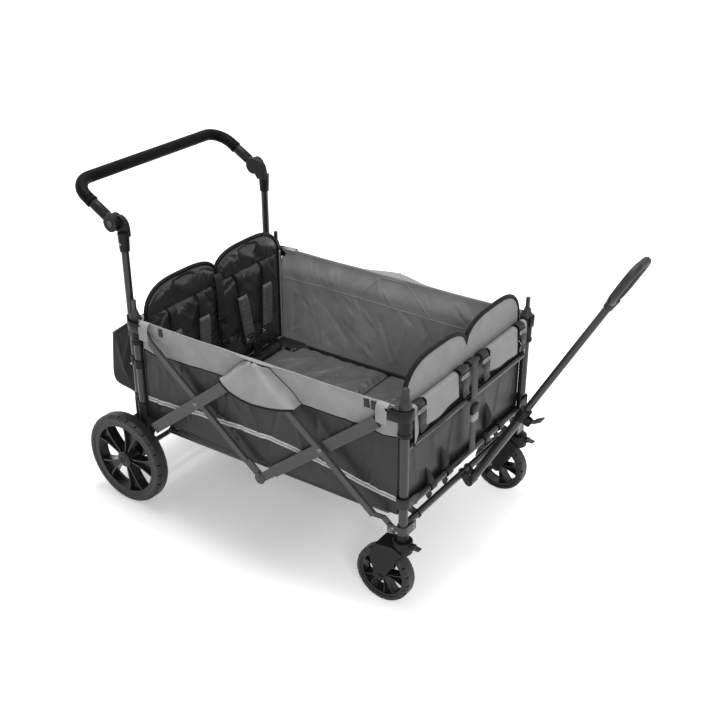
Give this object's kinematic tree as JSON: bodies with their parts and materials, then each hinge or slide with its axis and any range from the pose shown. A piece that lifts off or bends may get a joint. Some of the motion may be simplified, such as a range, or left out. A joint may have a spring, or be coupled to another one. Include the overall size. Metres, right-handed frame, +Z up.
{
  "type": "folding stroller wagon",
  "caption": "Folding stroller wagon: scissor frame with a fabric tub and facing bench seats, push handle, telescoping pull handle, spoked rear wheels and swivel casters.",
  "frame": {"origin": "on the ground under the middle of the whole wagon, half way between its ends and its sides", "axes": "+X to the front (pull-handle end), +Y to the left, +Z up"},
  "size_m": [1.5942, 0.789, 0.9904],
  "materials": {
    "powder_coat": "satin",
    "bar_coat": "satin",
    "bare_steel": "brushed",
    "black_plastic": "satin",
    "grey_plastic": "satin",
    "rim_plastic": "satin",
    "tyre_rubber": "satin",
    "foam_grip": "satin",
    "black_cloth": "woven",
    "light_cloth": "woven",
    "floor_cloth": "woven",
    "harness_cloth": "woven"
  },
  "bodies": {
    "rear_frame": {"rear_posts": "powder_coat", "rear_crossbars": "powder_coat", "axle_housings": "black_plastic", "rear_axle": "bare_steel", "handle_uprights": "powder_coat", "handle_clamps": "black_plastic", "hinge_bases": "black_plastic", "storage_basket": "black_cloth"},
    "push_handle": {"handle_bar": "powder_coat", "handle_grip": "foam_grip", "hinge_caps": "black_plastic"},
    "hinge_button_left": {"hinge_button_left": "grey_plastic"},
    "hinge_button_right": {"hinge_button_right": "grey_plastic"},
    "brake": {"brake_pedal": "grey_plastic"},
    "rear_wheel_left": {"rear_tyre_left": "tyre_rubber", "rear_rim_left": "rim_plastic"},
    "rear_wheel_right": {"rear_tyre_right": "tyre_rubber", "rear_rim_right": "rim_plastic"},
    "rear_rising": {"rear_rising_bars": "bar_coat", "rear_rising_rivets": "bare_steel"},
    "rear_falling": {"rear_falling_bars": "bar_coat", "rear_falling_rivets": "bare_steel"},
    "front_falling": {"front_falling_bars": "bar_coat", "front_falling_rivets": "bare_steel"},
    "front_rising": {"front_rising_bars": "bar_coat"},
    "rear_top": {"rear_top_brackets": "black_plastic", "rear_slide_rods": "powder_coat", "rear_top_bar": "powder_coat", "rear_seat_back": "black_cloth", "rear_panel": "light_cloth", "rear_harness": "harness_cloth", "side_cloths": "light_cloth"},
    "front_frame": {"front_posts": "powder_coat", "front_crossbars": "powder_coat", "front_corner_brackets": "powder_coat", "caster_sockets": "black_plastic", "pull_bracket": "powder_coat"},
    "front_top": {"front_top_brackets": "black_plastic", "front_slide_rods": "powder_coat", "front_top_bar": "powder_coat", "front_seat_back": "black_cloth", "front_panel": "light_cloth", "front_harness": "harness_cloth"},
    "caster_left": {"caster_fork_left": "black_plastic"},
    "caster_right": {"caster_fork_right": "black_plastic"},
    "caster_lock_left": {"caster_lock_left": "grey_plastic"},
    "caster_lock_right": {"caster_lock_right": "grey_plastic"},
    "caster_wheel_left": {"caster_tyre_left": "tyre_rubber", "caster_rim_left": "rim_plastic"},
    "caster_wheel_right": {"caster_tyre_right": "tyre_rubber", "caster_rim_right": "rim_plastic"},
    "pull_handle": {"pull_outer_tube": "powder_coat", "pull_clamp": "black_plastic"},
    "pull_lever": {"pull_lever": "grey_plastic"},
    "pull_extension": {"pull_inner_tube": "powder_coat", "pull_grip": "black_plastic"},
    "floor_rear": {"floor_rails_rear": "powder_coat", "floor_pad_rear": "floor_cloth"},
    "floor_front": {"floor_rails_front": "powder_coat", "floor_pad_front": "floor_cloth"}
  },
  "joints": [
    {"name": "fold", "type": "hinge", "parent": "rear_frame", "child": "rear_rising", "pos_m": [-0.54229, 0, 0.241], "axis": [0, -1, 0], "range_deg": [0, 36], "deforming": ["side_cloths"]},
    {"name": "rear_cross", "type": "hinge", "parent": "rear_rising", "child": "rear_falling", "pos_m": [-0.32604, 0, 0.415], "axis": [0, 1, 0], "range_deg": [0, 72]},
    {"name": "top_hub", "type": "hinge", "parent": "rear_rising", "child": "front_falling", "pos_m": [-0.10979, 0, 0.589], "axis": [0, 1, 0], "range_deg": [0, 72]},
    {"name": "front_cross", "type": "hinge", "parent": "front_falling", "child": "front_rising", "pos_m": [0.10646, 0, 0.415], "axis": [0, -1, 0], "range_deg": [0, 72]},
    {"name": "front_foot", "type": "hinge", "parent": "front_falling", "child": "front_frame", "pos_m": [0.32271, 0, 0.241], "axis": [0, -1, 0], "range_deg": [0, 36]},
    {"name": "rear_slide", "type": "hinge", "parent": "rear_falling", "child": "rear_top", "pos_m": [-0.54229, 0, 0.589], "axis": [0, -1, 0], "range_deg": [0, 36]},
    {"name": "front_slide", "type": "hinge", "parent": "front_rising", "child": "front_top", "pos_m": [0.32271, 0, 0.589], "axis": [0, 1, 0], "range_deg": [0, 36]},
    {"name": "floor_rear_lift", "type": "hinge", "parent": "rear_frame", "child": "floor_rear", "pos_m": [-0.49429, 0, 0.275], "axis": [0, -1, 0], "range_deg": [0, 90]},
    {"name": "floor_front_lift", "type": "hinge", "parent": "front_frame", "child": "floor_front", "pos_m": [0.27471, 0, 0.275], "axis": [0, 1, 0], "range_deg": [0, 90]},
    {"name": "push_handle_turn", "type": "hinge", "parent": "rear_frame", "child": "push_handle", "pos_m": [-0.63129, 0, 0.878], "axis": [0, 1, 0], "range_deg": [-90, 55]},
    {"name": "hinge_button_left_press", "type": "slide", "parent": "push_handle", "child": "hinge_button_left", "axis": [0, -1, 0], "range_m": [0, 0.0035], "stiffness_N_per_m": 800},
    {"name": "hinge_button_right_press", "type": "slide", "parent": "push_handle", "child": "hinge_button_right", "axis": [0, 1, 0], "range_m": [0, 0.0035], "stiffness_N_per_m": 800},
    {"name": "brake_press", "type": "hinge", "parent": "rear_frame", "child": "brake", "pos_m": [-0.61029, 0, 0.145], "axis": [0, 1, 0], "range_deg": [-20, 0]},
    {"name": "rear_wheel_left_spin", "type": "hinge", "parent": "rear_frame", "child": "rear_wheel_left", "pos_m": [-0.61029, 0.3685, 0.145], "axis": [0, 1, 0], "continuous": true},
    {"name": "rear_wheel_right_spin", "type": "hinge", "parent": "rear_frame", "child": "rear_wheel_right", "pos_m": [-0.61029, -0.3685, 0.145], "axis": [0, 1, 0], "continuous": true},
    {"name": "caster_left_swivel", "type": "hinge", "parent": "front_frame", "child": "caster_left", "pos_m": [0.34871, 0.3255, 0.227], "axis": [0, 0, 1], "continuous": true},
    {"name": "caster_left_spin", "type": "hinge", "parent": "caster_left", "child": "caster_wheel_left", "pos_m": [0.29671, 0.3255, 0.0835], "axis": [0, 1, 0], "continuous": true},
    {"name": "caster_left_lock", "type": "hinge", "parent": "caster_left", "child": "caster_lock_left", "pos_m": [0.38071, 0.3255, 0.196], "axis": [0, -1, 0], "range_deg": [0, 25]},
    {"name": "caster_right_swivel", "type": "hinge", "parent": "front_frame", "child": "caster_right", "pos_m": [0.34871, -0.3255, 0.227], "axis": [0, 0, 1], "continuous": true},
    {"name": "caster_right_spin", "type": "hinge", "parent": "caster_right", "child": "caster_wheel_right", "pos_m": [0.29671, -0.3255, 0.0835], "axis": [0, 1, 0], "continuous": true},
    {"name": "caster_right_lock", "type": "hinge", "parent": "caster_right", "child": "caster_lock_right", "pos_m": [0.38071, -0.3255, 0.196], "axis": [0, -1, 0], "range_deg": [0, 25]},
    {"name": "pull_handle_turn", "type": "hinge", "parent": "front_frame", "child": "pull_handle", "pos_m": [0.36871, 0, 0.226], "axis": [0, 1, 0], "range_deg": [-19, 56]},
    {"name": "pull_telescope", "type": "slide", "parent": "pull_handle", "child": "pull_extension", "axis": [0.4848, 0, 0.8746], "range_m": [-0.21, 0]},
    {"name": "pull_lever_flip", "type": "hinge", "parent": "pull_handle", "child": "pull_lever", "pos_m": [0.52986, 0, 0.46825], "axis": [0, 1, 0], "range_deg": [0, 90]}
  ],
  "couplings": [
    {"joint": "rear_cross", "follows": "fold", "ratio": 2},
    {"joint": "top_hub", "follows": "fold", "ratio": 2},
    {"joint": "front_cross", "follows": "fold", "ratio": 2},
    {"joint": "front_foot", "follows": "fold", "ratio": 1},
    {"joint": "rear_slide", "follows": "fold", "ratio": 1},
    {"joint": "front_slide", "follows": "fold", "ratio": 1},
    {"joint": "floor_rear_lift", "follows": "fold", "ratio": 2.5},
    {"joint": "floor_front_lift", "follows": "fold", "ratio": 2.5}
  ]
}
